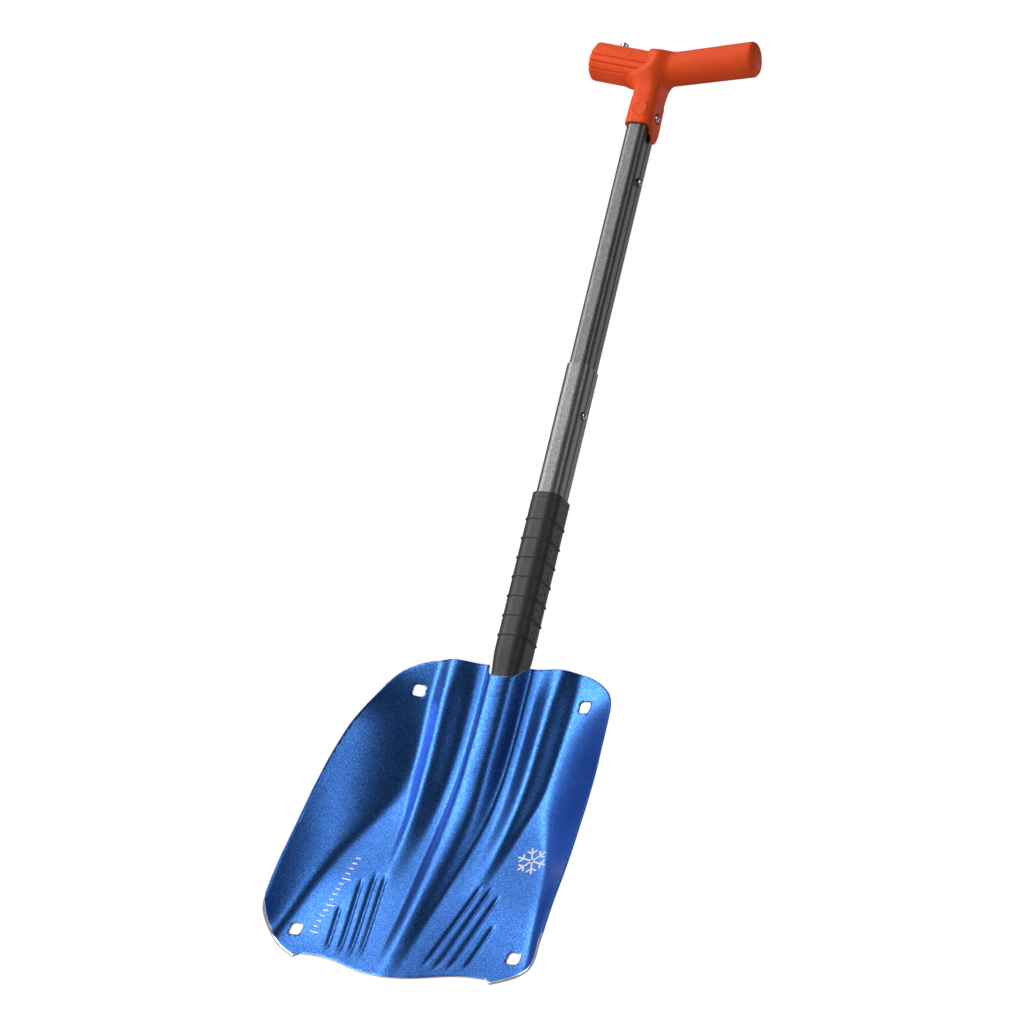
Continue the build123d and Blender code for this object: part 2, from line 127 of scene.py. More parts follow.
def bump(tree, principled, source, strength, distance):
    """Fine relief on a surface, its height in metres."""
    node = tree.nodes.new("ShaderNodeBump")
    node.inputs["Strength"].default_value = strength
    node.inputs["Distance"].default_value = distance
    tree.links.new(source, node.inputs["Height"])
    tree.links.new(node.outputs["Normal"], principled.inputs["Normal"])


CLOUD_SCALE = 28       # broad variation of the metal, features per metre
ROUGHNESS_SPREAD = 0.04
OXIDE_ROUGHNESS = 0.36
OXIDE_IOR = 1.6


def anodised(name, low, middle, high, roughness, stretch, grain=1500, coat=0.0):
    """Grained metal under a coloured oxide layer."""
    made, tree, shader = material(name, Metallic=1.0)
    fine = noise(tree, grain, 1.5, stretch)
    colour = ramp(tree, fine.outputs["Fac"], (0.34, low), (0.5, middle), (0.66, high))
    cloud = noise(tree, CLOUD_SCALE, 3.0)
    shade = ramp(tree, cloud.outputs["Fac"], (0.3, (0.9, 0.9, 0.9)), (0.7, (1, 1, 1)))
    tree.links.new(multiplied(tree, colour, shade), shader.inputs["Base Color"])
    smooth, rough = roughness - ROUGHNESS_SPREAD, roughness + ROUGHNESS_SPREAD
    tree.links.new(spread(tree, cloud.outputs["Fac"], smooth, rough), shader.inputs["Roughness"])
    bump(tree, shader, fine.outputs["Fac"], 0.35, 0.00012)
    shader.inputs["Coat Weight"].default_value = coat
    shader.inputs["Coat Roughness"].default_value = OXIDE_ROUGHNESS
    shader.inputs["Coat IOR"].default_value = OXIDE_IOR
    return made


def moulded(name, dark, light, roughness, grain, depth, **shader_values):
    """Moulded plastic or rubber with a fine spark-eroded grain."""
    made, tree, shader = material(name, **shader_values)
    fine = noise(tree, grain, 3.0)
    cloud = noise(tree, 35, 2.0)
    colour = ramp(tree, cloud.outputs["Fac"], (0.3, dark), (0.7, light))
    tree.links.new(colour, shader.inputs["Base Color"])
    tree.links.new(
        spread(tree, fine.outputs["Fac"], roughness - 0.06, roughness + 0.06),
        shader.inputs["Roughness"],
    )
    bump(tree, shader, fine.outputs["Fac"], 0.3, depth)
    return made


def steel(name, grain, stretch, dark, light, smooth, rough):
    """Turned or rolled steel, with its grain stretched along the working direction."""
    made, tree, shader = material(name, Metallic=1.0)
    marks = noise(tree, grain, 2.0, stretch)
    colour = ramp(tree, marks.outputs["Fac"], (0.3, dark), (0.7, light))
    tree.links.new(colour, shader.inputs["Base Color"])
    tree.links.new(spread(tree, marks.outputs["Fac"], smooth, rough), shader.inputs["Roughness"])
    return made


BLUE = anodised(
    "blue_anodised", (0.006, 0.062, 0.29), (0.024, 0.132, 0.47), (0.11, 0.28, 0.72), 0.34,
    (1, 1, 1), coat=0.12,
)
GREY = anodised(
    "grey_anodised", (0.13, 0.133, 0.133), (0.185, 0.19, 0.19), (0.26, 0.265, 0.265), 0.42,
    (1, 1, 0.3), 2200,
)
DARK = anodised(
    "dark_anodised", (0.095, 0.096, 0.094), (0.135, 0.137, 0.134), (0.19, 0.192, 0.188), 0.42,
    (1, 1, 0.3), 2200,
)
BARE = anodised(
    "bare_aluminium", (0.55, 0.56, 0.57), (0.70, 0.71, 0.72), (0.85, 0.86, 0.87), 0.3,
    (1, 1, 1), 1800,
)
ORANGE = moulded(
    "orange_plastic", (0.78, 0.070, 0.007), (0.84, 0.082, 0.010), 0.48, 1700, 0.00006,
    Specular_IOR_Level=0.2,
)
RUBBER = moulded("grip_rubber", (0.020, 0.020, 0.022), (0.028, 0.028, 0.031), 0.5, 2400, 0.00005)
NYLON = moulded("black_nylon", (0.012, 0.012, 0.013), (0.022, 0.022, 0.023), 0.55, 1500, 0.00006)
STEEL = steel("polished_steel", 900, (1, 1, 4), (0.5, 0.5, 0.5), (0.72, 0.72, 0.71), 0.1, 0.24)
SPRING = steel("spring_steel", 1200, (1, 1, 0.1), (0.3, 0.3, 0.31), (0.46, 0.46, 0.47), 0.22, 0.4)
PRINT = moulded("white_print", (0.80, 0.80, 0.80), (0.88, 0.88, 0.88), 0.45, 2500, 0.00002)

for node, finish in (
    ("socket_cover", BLUE),
    ("lower_tube", GREY),
    ("upper_tube", DARK),
    ("lower_plug", NYLON),
    ("upper_glide", NYLON),
    ("shaft_lock_button", STEEL),
    ("stow_button", STEEL),
    ("handle_button", STEEL),
    ("blade_lock_button", STEEL),
    ("hoe_button", STEEL),
    ("shaft_lock_spring", SPRING),
    ("stow_spring", SPRING),
    ("handle_spring", SPRING),
    ("blade_lock_spring", SPRING),
    ("hoe_spring", SPRING),
):
    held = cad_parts[node]
    if held.material_slots:
        for held_slot in held.material_slots:
            held_slot.material = finish
    else:
        held.data.materials.append(finish)


# ------------------------------------------------------------------- meshes
def piece(name, points, faces, finishes, body, replaced=(), crease=None, which=None):
    """Mesh object from points in metres, riding on a body."""
    mesh = bpy.data.meshes.new(name)
    mesh.from_pydata(np.asarray(points, float).tolist(), [], [list(f) for f in faces])
    for finish in finishes:
        mesh.materials.append(finish)
    if which is not None:
        mesh.polygons.foreach_set("material_index", which)
    mesh.polygons.foreach_set("use_smooth", [True] * len(mesh.polygons))
    if crease:
        mesh.set_sharp_from_angle(angle=radians(crease))
    mesh.update()
    made = bpy.data.objects.new(name, mesh)
    bpy.context.scene.collection.objects.link(made)
    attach(made, body)
    if replaced:
        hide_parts(*replaced)


def grid_faces(rows, columns, start=0, wrap_rows=False):
    """Quads of a tube-like grid that closes round its columns."""
    faces = []
    for i in range(rows if wrap_rows else rows - 1):
        a = start + i * columns
        b = start + (i + 1) % rows * columns
        for j in range(columns):
            k = (j + 1) % columns
            faces.append((a + j, a + k, b + k, b + j))
    return faces


def spline(points, spacing):
    """Smooth curve through points, sampled about every spacing."""
    points = np.array(points, float)
    chord = np.concatenate([[0], np.cumsum(np.hypot(*np.diff(points, axis=0).T))])
    count = len(points)
    matrix = np.eye(count)
    right = np.zeros((count, 2))
    for i in range(1, count - 1):
        before = chord[i] - chord[i - 1]
        after = chord[i + 1] - chord[i]
        matrix[i, i - 1 : i + 2] = before, 2 * (before + after), after
        right[i] = 6 * (
            (points[i + 1] - points[i]) / after - (points[i] - points[i - 1]) / before
        )
    bend = np.linalg.solve(matrix, right)
    at = np.linspace(0, chord[-1], max(2, int(chord[-1] / spacing) + 1))
    i = np.clip(np.searchsorted(chord, at, "right") - 1, 0, count - 2)
    step = (chord[i + 1] - chord[i])[:, None]
    a = ((chord[i + 1] - at)[:, None]) / step
    b = 1 - a
    return (
        a * points[i]
        + b * points[i + 1]
        + ((a**3 - a) * bend[i] + (b**3 - b) * bend[i + 1]) * step**2 / 6
    )


# -------------------------------------------------------------------- blade
RAKE = 0.53
RAKE_START = 108.0
RAKE_BLEND = 25.0
GROOVES = (
    ((66, 221), (59.5, 259), 1.5),
    ((59, 195), (47.5, 261), 1.8),
    ((50, 188), (37.5, 262), 1.8),
    ((41, 188), (28, 261), 1.6),
)
GROOVE_HALF = 1.4


def groove(x, down):
    """Short stiffening grooves pressed into the lower panel, both sides."""
    depth = 0
    for (x0, d0), (x1, d1), deep in GROOVES:
        part = np.clip(((x - x0) * (x1 - x0) + (down - d0) * (d1 - d0))
                       / ((x1 - x0) ** 2 + (d1 - d0) ** 2), -0.2, 1.2)
        away = np.hypot(x - x0 - part * (x1 - x0), down - d0 - part * (d1 - d0))
        fade = soft_step(part, -0.05, 0.12) * (1 - soft_step(part, 0.88, 1.08))
        depth = depth + deep * fade * np.exp(-((away / GROOVE_HALF) ** 2))
    return depth


RIB_HEIGHT = 9.5
RIB_RUN = [(-10, 0.5), (26, 0.95), (60, 1), (97, 0.85), (130, 0.55), (160, 0.25), (200, 0)]
RIB_CREST = [(0, 47), (32, 46), (66, 44.5), (100, 43.5), (134, 42), (195, 38)]
RIB_FOOT = [(33, 64.5), (65, 62.5), (95, 60.5), (130, 53), (195, 46)]
RIB_ROOT = 25.0
WALL_EDGE = [
    (0, 77), (10, 90.5), (24, 98.6), (47, 104.6), (83, 111.8), (131, 116), (184, 118),
    (228, 118.5),
]
WALL_RISE = [
    (0, 2), (10, 5), (24, 12), (47, 24.4), (66, 32.6), (83, 37.2), (104, 39.8), (131, 40.4),
    (184, 32.1), (230, 24), (251, 20),
]
WALL_SLOPE = [
    (0, 0.12), (24, 0.15), (47, 0.2), (83, 0.3), (131, 0.5), (184, 0.9), (230, 1.5)
]
TOE_BLEND = 2.5
CORNER_SET_BACK = 6.5    # the cutting edge is crowned
CORNER_RUN = 45


def sheet_y(x, down):
    """Front face of the blade beside the shaft's axis; forward is negative."""
    x = np.abs(x)
    panel = -RAKE * soft_plus(down - RAKE_START, RAKE_BLEND)
    high = along(down, [(80, 17), (131, 12), (200, 7.5), (240, 3.8), (275, 0.6)])
    foot = along(down, [(130, 18.8), (173, 16.6), (200, 14.2), (226, 12), (275, 10)])
    shoulder = along(down, [(80, 11.6), (131, 10.5), (200, 6), (275, 2.5)])
    tunnel = high / (foot - shoulder) * (
        soft_plus(foot - x, 0.9) - soft_plus(shoulder - x, 2.6)
    )
    crest = along(down, RIB_CREST)
    rib = RIB_HEIGHT * along(down, RIB_RUN) * soft_step(x, RIB_ROOT, crest)
    rib = rib * (1 - soft_step(x, crest, along(down, RIB_FOOT)))
    toe = along(down, [(60, 57), (90, 59), (117, 65), (167, 87), (206, 98.5), (251, 109)])
    slope = along(down, WALL_SLOPE)
    span = soft_plus(along(down, WALL_EDGE) - toe, TOE_BLEND)
    curl = np.clip((along(down, WALL_RISE) - slope * span) / span**2, 0, 0.02)
    past = soft_plus(x - toe, TOE_BLEND)
    wall = slope * past + curl * past**2
    crown = CORNER_SET_BACK * (1 - np.exp(-((x / CORNER_RUN) ** 2)))
    set_back = crown * soft_step(down, 190, 262)
    return panel - tunnel - rib - wall + set_back + groove(x, down)


def thickness(x, down):
    """Sheet measured front to back, more where the side walls turn away."""
    step = 0.5
    slope = (sheet_y(x + step, down) - sheet_y(x - step, down)) / (2 * step)
    more = np.minimum((1 + slope**2) ** 0.45, 2.1) - 1
    return SHEET * (1 + more * soft_step(np.abs(x), 60, 75))


OUTLINE_RUNS = (
    [(0, 9.2), (8, 8.3), (13, 4), (16, -1.5), (18.8, -4.4)],
    [
        (18.8, -4.4), (27, -4.7), (40, -4.9), (50, -4.8), (58, -4.3), (64.5, -3.2), (71, -1.6),
        (79.5, 1.9), (86.8, 6.4), (92.4, 11.8), (98.6, 24),
    ],
    [(98.6, 24), (104.8, 47), (111.8, 83), (116, 131), (118, 184), (118.5, 228)],
    [(118.5, 228), (115.8, 243), (106, 258), (84, 270.4)],
    [(84, 270.4), (79, 266.8)],
    [(79, 266.8), (61, 267.3), (40, 271.6), (20, 276.6), (0, 278.6)],
)
HOLES = ((73.1, 23.9), (93.2, 245.6))
HOLE_HALF = 5.0
HOLE_CORNER = 2.8
EDGE_STEP = 1.2
EDGE_ROUND = 0.4
GROUND_WIDE = 1.5


def outline_loop():
    """Blade's outline as (x, down), closed by mirroring its right half."""
    half = np.vstack([spline(run, EDGE_STEP)[:-1] for run in OUTLINE_RUNS])
    other = half[:0:-1] * (-1, 1)
    tip = np.array([[0, MOUTH_Z]])
    return np.vstack([half, tip, other])


def rounded_square(half_wide, half_deep, corner, per_corner):
    """Points and outward normals round a rounded rectangle."""
    points, normals = [], []
    for sx, sy, first in ((1, 1, 0), (-1, 1, 90), (-1, -1, 180), (1, -1, 270)):
        for i in range(per_corner + 1):
            turn = radians(first + 90 * i / per_corner)
            normal = (cos(turn), sin(turn))
            points.append(
                (
                    sx * (half_wide - corner) + corner * normal[0],
                    sy * (half_deep - corner) + corner * normal[1],
                )
            )
            normals.append(normal)
    return np.array(points), np.array(normals)


def inset(loop, amount):
    """Closed loop moved to its left by an amount, or by one for each point."""
    ahead = np.roll(loop, -1, axis=0) - loop
    ahead /= np.linalg.norm(ahead, axis=1)[:, None]
    turn = ahead + np.roll(ahead, 1, axis=0)
    turn /= np.linalg.norm(turn, axis=1)[:, None]
    return loop + np.reshape(amount, (-1, 1)) * np.stack([-turn[:, 1], turn[:, 0]], axis=1)


def inside(points, loop):
    """Which points lie inside a closed loop."""
    result = np.zeros(len(points), bool)
    px, py = points.T
    for (x0, y0), (x1, y1) in zip(loop, np.roll(loop, -1, axis=0)):
        if y0 == y1:
            continue
        hit = ((y0 > py) != (y1 > py)) & (px < (x1 - x0) * (py - y0) / (y1 - y0) + x0)
        result ^= hit
    return result


def nearest(points, loop):
    """Distance from each point to the closest point of a loop."""
    far = np.full(len(points), np.inf)
    for x, y in loop:
        np.minimum(far, (points[:, 0] - x) ** 2 + (points[:, 1] - y) ** 2, out=far)
    return np.sqrt(far)


BARE_FROM = 226          # the ground lower corners show bare metal below this
MOUTH_HALF = 19.5        # and so does the rim of the socket's mouth
MOUTH_DEEP = 12
CELL = (1.25, 2.2)       # spacing of the sheet's inner points


def make_blade():
    """Pressed sheet with rolled edges, its lashing holes open."""
    loops = [outline_loop()]
    square, _ = rounded_square(HOLE_HALF, HOLE_HALF, HOLE_CORNER, 5)
    for hole_x, hole_down in HOLES:
        for side in (-1, 1):
            loops.append((square + (side * hole_x, hole_down))[::-1])
    # inset() moves a loop to its left: inwards on the outline, outwards on a hole
    if not inside(inset(loops[0], 0.5)[:1], loops[0])[0]:
        loops[0] = loops[0][::-1]
    if inside(inset(loops[1], 0.5)[:1], loops[1])[0]:
        loops[1:] = [loop[::-1] for loop in loops[1:]]
    ground = GROUND_WIDE * soft_step(loops[0][:, 1], BARE_FROM, 240)
    ground = ground * soft_step(np.abs(loops[0][:, 0]), 80, 86)
    fronts = [inset(loops[0], EDGE_ROUND + ground)]
    fronts += [inset(loop, EDGE_ROUND) for loop in loops[1:]]
    xs = np.arange(-118.75, 119, CELL[0])
    downs = np.arange(-8, 280, CELL[1])
    cloud = np.stack(np.meshgrid(xs, downs), axis=-1).reshape(-1, 2)
    keep = inside(cloud, fronts[0])
    for front in fronts[1:]:
        keep &= ~inside(cloud, front)
    cloud = cloud[keep]
    near = nearest(cloud, np.vstack(fronts))
    cloud = cloud[near > 0.8]
    flat = np.vstack(fronts + [cloud])
    edges, first = [], 0
    for front in fronts:
        count = len(front)
        edges += [(first + i, first + (i + 1) % count) for i in range(count)]
        first += count
    points, _, faces, *_ = delaunay_2d_cdt([Vector(p) for p in flat], edges, [], 0, 1e-5)
    points = np.array([tuple(p) for p in points])
    faces = np.array([tuple(f) for f in faces])
    middle = points[faces].mean(axis=1)
    keep = inside(middle, fronts[0])
    for front in fronts[1:]:
        keep &= ~inside(middle, front)
    faces = faces[keep]
    count = len(points)
    y = sheet_y(points[:, 0], points[:, 1])
    corner = points[faces]
    a, b = corner[:, 1] - corner[:, 0], corner[:, 2] - corner[:, 0]
    flip = a[:, 0] * b[:, 1] - a[:, 1] * b[:, 0] > 0
    faces[flip] = faces[flip][:, ::-1]
    front_points = placed(points[:, 0], y, -points[:, 1])
    back_points = placed(points[:, 0], y + thickness(points[:, 0], points[:, 1]), -points[:, 1])
    all_points = [front_points, back_points]
    all_faces = [tuple(f) for f in faces[:, ::-1]] + [tuple(f + count) for f in faces]
    which = [0] * len(all_faces)
    first, start = 0, 2 * count
    for loop in loops:
        size = len(loop)
        y = sheet_y(loop[:, 0], loop[:, 1])
        all_points.append(placed(loop[:, 0], y + EDGE_ROUND, -loop[:, 1]))
        deep = thickness(loop[:, 0], loop[:, 1])
        all_points.append(placed(loop[:, 0], y + deep - EDGE_ROUND, -loop[:, 1]))
        for i in range(size):
            k = (i + 1) % size
            rings = [first, start, start + size, first + count]
            at_mouth = abs(loop[i, 0]) < MOUTH_HALF and loop[i, 1] < MOUTH_DEEP
            bare = loop[i, 1] > BARE_FROM or at_mouth
            for a, b in zip(rings, rings[1:]):
                all_faces.append((a + i, b + i, b + k, a + k))
                which.append(1 if bare else 0)
        first += size
        start += 2 * size
    piece(
        "blade_sheet", np.vstack(all_points), all_faces, [BLUE, BARE], "blade_unit",
        ["blade"], None, which,
    )


make_blade()


# --------------------------------------------------------------- grip sleeve
TUBE_HALF_WIDE = 10.5
TUBE_HALF_DEEP = 14.2
TUBE_CORNER = 7.0
GRIP_LOW = -12.0
GRIP_TOP = 150.0
RINGS = [26.6 + 16.7 * ring for ring in range(7)]
TOP_LINE = 144.6
TIP_WALL = 0.6
FULL_WALL = 2.4


def dense_section(spacing):
    """Evenly sampled base section of the tube with its outward normals."""
    corners, normals = rounded_square(TUBE_HALF_WIDE, TUBE_HALF_DEEP, TUBE_CORNER, 14)
    points, ways = [], []
    for i in range(len(corners)):
        k = (i + 1) % len(corners)
        length = np.hypot(*(corners[k] - corners[i]))
        parts = max(1, int(round(length / spacing)))
        for part in range(parts):
            points.append(corners[i] + (corners[k] - corners[i]) * part / parts)
            ways.append(normals[i])
    return np.array(points), np.array(ways)


def grip_wall(up, side, along_y):
    """Thickness of the sleeve: taper, rings, a fine top line and side nubs."""
    wall = TIP_WALL + (FULL_WALL - TIP_WALL) * soft_step(up, -9, 16)
    for ring in RINGS:
        wall = wall + (0.35 + 0.75 * side**2) * np.exp(-(((up - ring) / 0.75) ** 2))
        wall = wall - 0.45 * np.exp(-(((up - ring + 1.5) / 0.55) ** 2))
    wall = wall - 0.4 * np.exp(-(((up - TOP_LINE) / 0.5) ** 2))
    for row, nub_up in enumerate(np.arange(24, 128, 3.2)):
        nub_y = 3.2 * (-1) ** row + 1.1 * sin(2.7 * row)
        near = (along_y - nub_y) ** 2 + (up - nub_up) ** 2
        wall = wall + (side > 0.9) * 0.75 * np.exp(-near / 1.3)
    return wall


def make_grip():
    """Rubber sleeve with raised rings, tapering into the socket."""
    base, ways = dense_section(0.8)
    ups = np.arange(GRIP_LOW + 0.5, GRIP_TOP - 0.3, 0.55)
    rim = ((GRIP_LOW, 0.05), (GRIP_LOW, 0.4), (GRIP_LOW + 0.1, 0.55))
    top = ((GRIP_TOP - 0.25, 2.25), (GRIP_TOP, 1.9), (GRIP_TOP, 0.35), (GRIP_TOP - 0.4, 0.05))
    rows = [(up, np.full(len(base), wall)) for up, wall in rim]
    rows += [(up, grip_wall(up, ways[:, 0], base[:, 1])) for up in ups]
    rows += [(up, np.full(len(base), wall)) for up, wall in top]
    points = [placed(*(base + ways * wall[:, None]).T, up) for up, wall in rows]
    faces = grid_faces(len(rows), len(base), wrap_rows=True)
    piece(
        "grip", np.vstack(points), faces, [RUBBER], "lower_shaft",
        ["grip_sleeve"],
    )


make_grip()

# ------------------------------------------------------------------- handle
HUB_UP = 540.9
ARM_RISE = radians(9.2)
LEFT_LENGTH = 55.0 / cos(ARM_RISE)
RIGHT_LENGTH = 91.6 / cos(ARM_RISE) - 2
ARM_RADIUS = 14.2
ARM_FLARE = 0.8
ARM_EDGE = 4.0
END_RISE = radians(5.0)
RIBBED_RADIUS = 17.0
SHELL_RADIUS = 17.7
SHELL_SEAT = 17.12
SEAT_DEEP = 3.0
COLLAR_LOW = 486.0 - HUB_UP
COLLAR_STEP = 512.0 - HUB_UP
COLLAR_HALF = (11.58, 15.28)
COLLAR_CORNER = 8.1
COLLAR_PAD = 1.3
TAB_DEEP = 11.0
TAB_BACK = 2.5         # its tip lies this far behind the shaft's axis
BUTTON_UP = 496.8 - HUB_UP
BUTTON_HOLE = 4.5
RING_UP = COLLAR_LOW + 13
RING_RADIUS = 6.3
RING_PROUD = 0.4
CAVITY_HALF = (9.26, 12.96)
CAVITY_TOP = 532.5 - HUB_UP
RELIEF_HALF = (10.8, 14.5)    # the tongue's tip clears the lower tube's rim
RELIEF_TOP = COLLAR_LOW - TAB_DEEP + 5.5
CAP_RADIUS = 11.0
CAP_DEEP = 5.0
CAP_GAP = 0.2


def box_section(x, y, half, corner):
    """Signed distance to a rounded rectangle round the shaft's axis."""
    qx = np.abs(x) - half[0] + corner
    qy = np.abs(y) - half[1] + corner
    outer = np.hypot(np.maximum(qx, 0), np.maximum(qy, 0))
    return outer + np.minimum(np.maximum(qx, qy), 0) - corner


def smooth_min(a, b, blend):
    """Union of two distances with a fillet."""
    part = np.clip(0.5 + 0.5 * (b - a) / blend, 0, 1)
    return b * (1 - part) + a * part - blend * part * (1 - part)


def smooth_max(a, b, blend):
    """Intersection of two distances with a rounded edge."""
    return -smooth_min(-a, -b, blend)


def arm_frame(x, y, up, side):
    """Distance along an arm, height across it, and distance from its axis."""
    t = side * x * cos(ARM_RISE) + up * sin(ARM_RISE)
    w = -side * x * sin(ARM_RISE) + up * cos(ARM_RISE)
    return t, w, np.hypot(y, w)


def end_frame(x, up):
    """Distance past the right arm's slanted end face, and height across it."""
    x = x - RIGHT_LENGTH * cos(ARM_RISE)
    up = up - RIGHT_LENGTH * sin(ARM_RISE)
    return x * cos(END_RISE) + up * sin(END_RISE), up * cos(END_RISE) - x * sin(END_RISE)


def shell_reach(y, w):
    """How far the hub's shell covers the ribbed arm, round its circumference."""
    return 14.5 - 0.42 * w - 13.5 * (y / SHELL_RADIUS) ** 4


def handle_field(x, y, up):
    """Signed distance to the handle's moulded body, from the hub's centre."""
    t, _, away = arm_frame(x, y, up, 1)
    radius = ARM_RADIUS + ARM_FLARE * t / RIGHT_LENGTH
    past, across = end_frame(x, up)
    q1, q2 = away - radius + ARM_EDGE, past + ARM_EDGE
    arm = np.hypot(np.maximum(q1, 0), np.maximum(q2, 0)) + np.minimum(np.maximum(q1, q2), 0)
    arm = arm - ARM_EDGE
    arm = np.maximum(arm, -t - 6)
    taper = 0.5 * soft_step(up, COLLAR_STEP - 0.5, COLLAR_STEP + 0.3)
    taper = taper + 0.5 * soft_step(up, COLLAR_LOW, COLLAR_STEP)
    wide = (COLLAR_HALF[0] + COLLAR_PAD / 2, COLLAR_HALF[1])
    neck = box_section(x - COLLAR_PAD / 2, y, wide, COLLAR_CORNER) + taper
    neck = np.maximum(neck, up - 8)
    s, w, shell_away = arm_frame(x, y, up, -1)
    shell = smooth_max(shell_away - SHELL_RADIUS, -s - 7, 9)
    body = smooth_min(arm, neck, 7)
    body = smooth_min(body, shell, 12)
    reach = shell_reach(y, w)
    body = smooth_max(body, (s - reach) * 0.75, 0.6)
    side = (x > 4) * (1 - soft_step(np.abs(y - TAB_BACK), 2, 10))
    rim = COLLAR_LOW - TAB_DEEP * side
    body = smooth_max(body, (rim - up) * 0.8, 0.8)
    ring = np.abs(np.hypot(x - 1, up - RING_UP) - RING_RADIUS)
    body = body - RING_PROUD * (1 - soft_step(ring, 0.4, 1.0)) * (y < 0)
    line = np.exp(-(((up - COLLAR_STEP) / 0.45) ** 2)) * 0.45
    body = body + line
    cavity = box_section(x, y, CAVITY_HALF, 5.76)
    cavity = np.maximum(cavity, up - CAVITY_TOP)
    relief = box_section(x, y, RELIEF_HALF, 7.3)
    cavity = np.minimum(cavity, np.maximum(relief, up - RELIEF_TOP))
    body = np.maximum(body, -cavity)
    seat = np.maximum(shell_away - SHELL_SEAT, (reach - SEAT_DEEP - s) * 0.75)
    body = np.maximum(body, -seat)
    pocket = np.maximum(np.hypot(y, across) - CAP_RADIUS - CAP_GAP, -past - CAP_DEEP)
    body = np.maximum(body, -pocket)
    hole = np.maximum(np.hypot(y, up - BUTTON_UP) - BUTTON_HOLE, 2 - x)
    return smooth_max(body, -hole, 0.8)


def surface_net(field, low, high, cell):
    """Closed quad mesh round the inside of a signed distance field."""
    axes = [np.arange(a, b + cell, cell) for a, b in zip(low, high)]
    value = field(*np.meshgrid(*axes, indexing="ij", sparse=True))
    inner = value < 0
    shape = np.array(value.shape) - 1
    total = np.zeros((*shape, 3))
    hits = np.zeros(shape)
    for axis in range(3):
        b, c = [k for k in range(3) if k != axis]
        for ob in (0, 1):
            for oc in (0, 1):
                pick = [None] * 3
                pick[b] = slice(ob, ob + shape[b])
                pick[c] = slice(oc, oc + shape[c])
                pick[axis] = slice(0, shape[axis])
                v0 = value[tuple(pick)]
                pick[axis] = slice(1, shape[axis] + 1)
                v1 = value[tuple(pick)]
                cross = (v0 < 0) != (v1 < 0)
                part = np.where(cross, v0 / np.where(cross, v0 - v1, 1), 0)
                total[..., axis] += part
                total[..., b] += cross * ob
                total[..., c] += cross * oc
                hits += cross
    used = hits > 0
    number = np.full(shape, -1)
    number[used] = np.arange(used.sum())
    base = np.stack(np.nonzero(used), axis=1)
    points = (base + total[used] / hits[used][:, None]) * cell + np.array([a[0] for a in axes])
    faces = []
    for axis in range(3):
        b, c = (axis + 1) % 3, (axis + 2) % 3
        pick = [slice(1, -1)] * 3
        pick[axis] = slice(0, -1)
        ahead = list(pick)
        ahead[axis] = slice(1, None)
        first, second = inner[tuple(pick)], inner[tuple(ahead)]
        where = np.stack(np.nonzero(first != second), axis=1)
        outward = first[tuple(where.T)]
        where[:, b] += 1
        where[:, c] += 1
        ring = []
        for ob, oc in ((-1, -1), (0, -1), (0, 0), (-1, 0)):
            at = where.copy()
            at[:, b] += ob
            at[:, c] += oc
            ring.append(number[tuple(at.T)])
        quads = np.stack(ring, axis=1)
        quads[~outward] = quads[~outward][:, ::-1]
        faces.append(quads)
    return points, np.vstack(faces)


def settle(field, points, cell):
    """Move points onto the surface along the field's slope."""
    h = 0.05
    for _ in range(3):
        x, y, z = points.T
        value = field(x, y, z)
        slope = np.stack(
            [
                field(x + h, y, z) - field(x - h, y, z),
                field(x, y + h, z) - field(x, y - h, z),
                field(x, y, z + h) - field(x, y, z - h),
            ],
            axis=1,
        ) / (2 * h)
        size = np.maximum((slope**2).sum(axis=1), 0.2)
        move = -slope * (value / size)[:, None]
        long = np.maximum(np.linalg.norm(move, axis=1) / (0.35 * cell), 1)
        points = points + move / long[:, None]
    return points


def make_handle():
    """Moulded collar, neck, hub and right arm in one skin."""
    cell = 0.75
    low = (-36, -20, COLLAR_LOW - TAB_DEEP - 2)
    high = (94, 20, 33)
    points, faces = surface_net(handle_field, low, high, cell)
    points = settle(handle_field, points, cell)
    x, y, up = points.T
    piece(
        "handle_shell", placed(x, y, up + HUB_UP), faces, [ORANGE], "handle",
        ["handle_body"], 50,
    )


make_handle()


def make_cap():
    """Slightly domed plug in the end of the right arm."""
    turns = np.radians(np.arange(0, 360, 5))
    outline = [(-CAP_DEEP + 0.3, 8.0), (-CAP_DEEP + 0.3, CAP_RADIUS - 0.4), (-4.2, CAP_RADIUS)]
    outline += [(-0.7, CAP_RADIUS), (-0.3, CAP_RADIUS - 0.15), (0.0, CAP_RADIUS - 0.6)]
    outline += [(1.6 * (1 - (r / CAP_RADIUS) ** 2), r) for r in (9.7, 9, 8, 7, 5, 3, 1)]
    points = []
    for past, radius in outline:
        across = radius * np.cos(turns)
        base_x = RIGHT_LENGTH * cos(ARM_RISE) + past * cos(END_RISE)
        base_up = RIGHT_LENGTH * sin(ARM_RISE) + past * sin(END_RISE)
        x = base_x - across * sin(END_RISE)
        up = base_up + across * cos(END_RISE)
        points.append(placed(x, radius * np.sin(turns), up + HUB_UP))
    count = len(turns)
    faces = grid_faces(len(outline), count)
    faces += [tuple(range(count))[::-1]]
    faces += [tuple(range((len(outline) - 1) * count, len(outline) * count))]
    piece(
        "arm_cap", np.vstack(points), faces, [ORANGE], "handle",
        ["arm_end_cap"], 40,
    )


make_cap()

RIB_EDGES = (0.0, 46.0, 93.0, 114.0, 136.0, 180.0, 225.0, 270.0, 315.0)
RIBBED_HIDDEN = 2.6      # length inside the hub's shell
RIBBED_BORE = 9.5
RIBBED_ROUND = 1.6       # edge at the arm's end
PAD_PROUD = 0.4          # plain raised pad on the front facet


